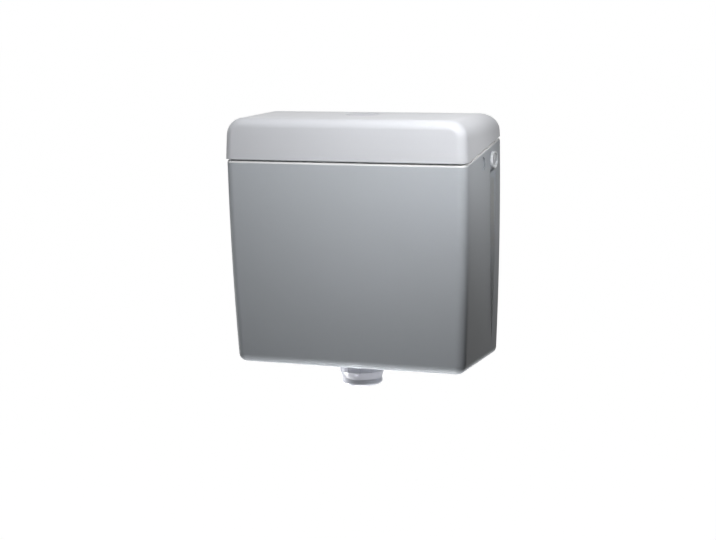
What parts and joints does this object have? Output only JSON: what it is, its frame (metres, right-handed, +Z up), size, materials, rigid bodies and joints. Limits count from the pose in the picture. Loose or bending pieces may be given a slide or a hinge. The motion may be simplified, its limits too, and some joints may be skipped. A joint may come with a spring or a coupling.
{
  "type": "toilet cistern",
  "caption": "Wall-hung toilet cistern with a lift-off lid, top push button, lever-worked flush valve, float-fed side inlet and a bottom outlet for the flush pipe.",
  "frame": {"origin": "midway between the two fixing holes, on the wall face", "axes": "+X to the right seen from the front, +Y into the wall, +Z up"},
  "size_m": [0.4066, 0.1668, 0.4055],
  "materials": {
    "tank_plastic": "moulded grey plastic with a soft gloss",
    "lid_plastic": "moulded near-white plastic with a soft gloss",
    "white_plastic": "moulded white plastic",
    "valve_plastic": "moulded off-white plastic",
    "moving_plastic": "moulded blue plastic, for the pieces that move",
    "float_plastic": "closed-cell float, dull",
    "rubber": "black rubber",
    "spring_steel": "drawn stainless wire",
    "brass": "turned brass"
  },
  "bodies": {
    "tank": {"tank_body": "tank_plastic", "base_gasket": "rubber", "flush_valve_base": "valve_plastic", "outlet_backnut": "white_plastic", "flush_pipe_connector": "white_plastic", "flush_pipe_seal": "rubber", "valve_tower": "valve_plastic", "rocker_pin": "spring_steel", "fill_valve_body": "valve_plastic", "inlet_washer": "rubber", "inlet_backnut": "white_plastic", "inlet_filter": "moving_plastic", "valve_cap": "valve_plastic", "float_arm_pin": "spring_steel", "fill_tube": "valve_plastic", "blanking_cap": "white_plastic", "blanking_washer": "rubber", "blanking_nut": "valve_plastic"},
    "lid": {"lid": "lid_plastic", "button_housing": "lid_plastic", "housing_nut": "valve_plastic", "button_spring": "spring_steel"},
    "button": {"flush_button": "white_plastic", "push_rod": "valve_plastic", "rod_lock_nut": "brass"},
    "rocker": {"lift_rocker": "moving_plastic"},
    "flush_tube": {"overflow_tube": "moving_plastic", "valve_seal": "rubber", "seal_retainer": "moving_plastic", "valve_float": "float_plastic"},
    "float_lever": {"float_arm": "moving_plastic", "float_rod": "brass", "float_nuts": "brass", "water_float": "float_plastic"},
    "piston": {"valve_piston": "moving_plastic", "piston_washer": "rubber"}
  },
  "joints": [
    {"name": "lid_lift", "type": "slide", "parent": "tank", "child": "lid", "axis": [0, 0, 1], "range_m": [0, 0.12]},
    {"name": "button_press", "type": "slide", "parent": "lid", "child": "button", "axis": [0, 0, -1], "range_m": [0, 0.008], "stiffness_N_per_m": 200, "springref_m": -0.012, "deforming": ["button_spring"]},
    {"name": "rocker_turn", "type": "hinge", "parent": "tank", "child": "rocker", "pos_m": [0, -0.0785, -0.042], "axis": [-1, 0, 0], "range_deg": [0, 21.85]},
    {"name": "tube_lift", "type": "slide", "parent": "tank", "child": "flush_tube", "axis": [0, 0, 1], "range_m": [0, 0.008]},
    {"name": "float_arm_swing", "type": "hinge", "parent": "tank", "child": "float_lever", "pos_m": [-0.12989, -0.038, -0.0063], "axis": [0, -1, 0], "range_deg": [0, 35]},
    {"name": "piston_slide", "type": "slide", "parent": "tank", "child": "piston", "axis": [-1, 0, 0], "range_m": [0, 0.00542]}
  ],
  "couplings": [
    {"joint": "rocker_turn", "follows": "button_press", "rad_per_m": 47.658},
    {"joint": "tube_lift", "follows": "button_press", "ratio": 1},
    {"joint": "piston_slide", "follows": "float_arm_swing", "m_per_rad": 0.0088607}
  ]
}
